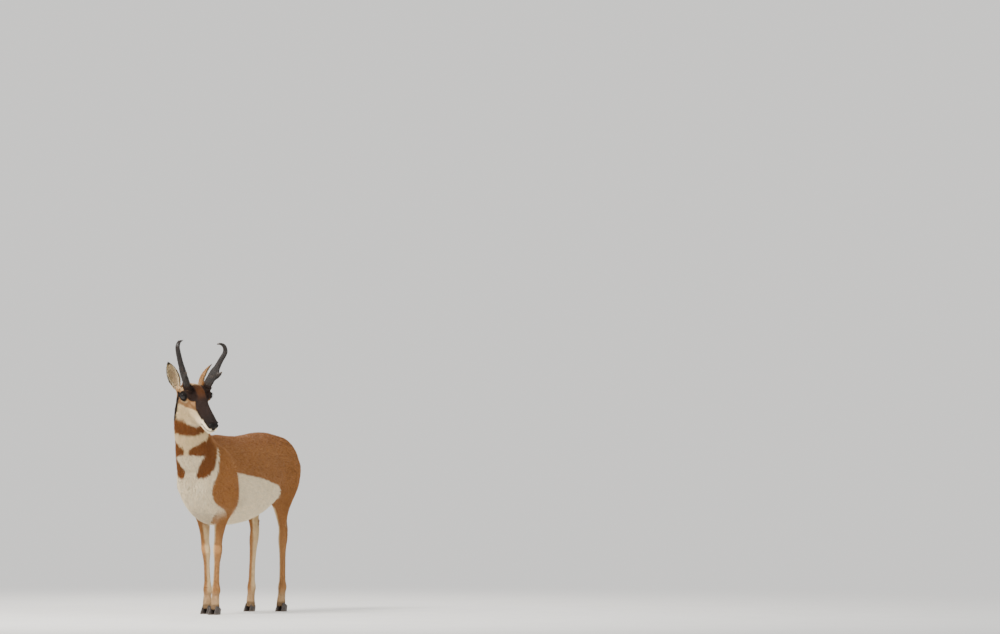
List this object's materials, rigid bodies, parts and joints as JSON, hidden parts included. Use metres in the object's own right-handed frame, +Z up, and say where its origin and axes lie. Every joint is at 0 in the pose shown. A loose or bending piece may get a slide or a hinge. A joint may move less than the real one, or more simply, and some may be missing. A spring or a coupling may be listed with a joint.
{
  "type": "pronghorn, life-size still model",
  "caption": "Life-size still model of a standing pronghorn buck in winter coat, head turned to its left, with pronged horns.",
  "frame": {"origin": "on the ground, under the middle of the animal's bounding box", "axes": "+Z up, the animal faces -Y, its left side is +X"},
  "size_m": [0.3448, 1.1254, 1.2862],
  "materials": {
    "coat": "matt hair, rust-tan above with white bands, belly, flank and rump, and a black-brown mask",
    "horn": "ribbed black-brown horn sheath, worn smoother and shinier at the tip",
    "hoof": "dark hoof horn with fine growth lines, dusty at the edge",
    "eye": "wet, near-black brown"
  },
  "bodies": {
    "root": {"head": "coat", "neck": "coat", "trunk": "coat", "tail": "coat", "foreleg_L": "coat", "foreleg_R": "coat", "hindleg_L": "coat", "hindleg_R": "coat", "ear_L": "coat", "ear_R": "coat", "hoof_fore_L_inner": "hoof", "hoof_fore_L_outer": "hoof", "hoof_fore_R_inner": "hoof", "hoof_fore_R_outer": "hoof", "hoof_hind_L_inner": "hoof", "hoof_hind_L_outer": "hoof", "hoof_hind_R_inner": "hoof", "hoof_hind_R_outer": "hoof", "horn_L": "horn", "horn_R": "horn", "eye_L": "eye", "eye_R": "eye"}
  },
  "joints": []
}
